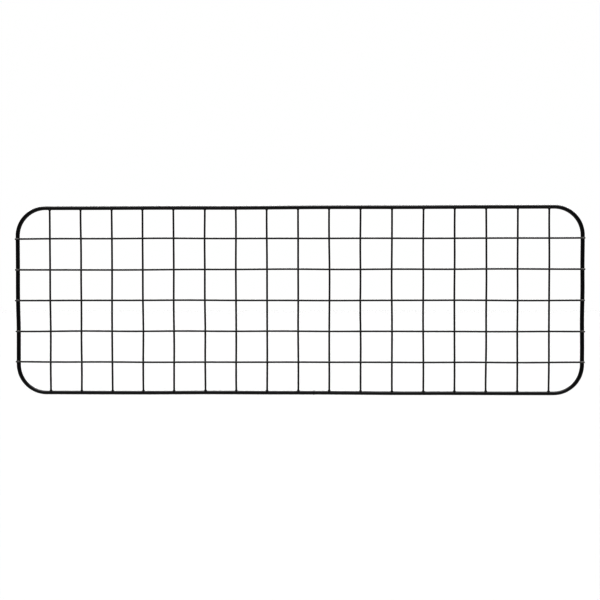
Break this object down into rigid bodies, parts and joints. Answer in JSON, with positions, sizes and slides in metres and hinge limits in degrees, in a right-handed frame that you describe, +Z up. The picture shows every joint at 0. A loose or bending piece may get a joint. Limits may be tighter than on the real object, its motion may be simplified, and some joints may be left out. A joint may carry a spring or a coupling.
{
  "type": "headache rack wire screen",
  "caption": "Black welded wire grid in a round-cornered rod loop, the screen of a truck headache rack, clipped in behind the cab window.",
  "frame": {"origin": "centre of the rod loop, on the rod's centre plane. It is the centre of the bounding box but for 1.8 mm in Y, because the horizontal wires stand on the front", "axes": "+X along the screen's width, +Z up its height, -Y out of its front, where the horizontal wires are"},
  "size_m": [1.3724, 0.0137, 0.4577],
  "materials": {
    "rod_coat": "semi-gloss black powder coat on steel rod",
    "wire_coat": "semi-gloss black powder coat on steel wire",
    "weld_coat": "semi-gloss black powder coat over weld"
  },
  "bodies": {
    "root": {"perimeter_rod": "rod_coat", "frame_butt_weld": "weld_coat", "horizontal_wire_1": "wire_coat", "horizontal_wire_2": "wire_coat", "horizontal_wire_3": "wire_coat", "horizontal_wire_4": "wire_coat", "horizontal_wire_5": "wire_coat", "vertical_wire_01": "wire_coat", "vertical_wire_02": "wire_coat", "vertical_wire_03": "wire_coat", "vertical_wire_04": "wire_coat", "vertical_wire_05": "wire_coat", "vertical_wire_06": "wire_coat", "vertical_wire_07": "wire_coat", "vertical_wire_08": "wire_coat", "vertical_wire_09": "wire_coat", "vertical_wire_10": "wire_coat", "vertical_wire_11": "wire_coat", "vertical_wire_12": "wire_coat", "vertical_wire_13": "wire_coat", "vertical_wire_14": "wire_coat", "vertical_wire_15": "wire_coat", "vertical_wire_16": "wire_coat", "vertical_wire_17": "wire_coat", "top_rail_welds": "weld_coat", "bottom_rail_welds": "weld_coat", "left_side_welds": "weld_coat", "right_side_welds": "weld_coat"}
  },
  "joints": []
}
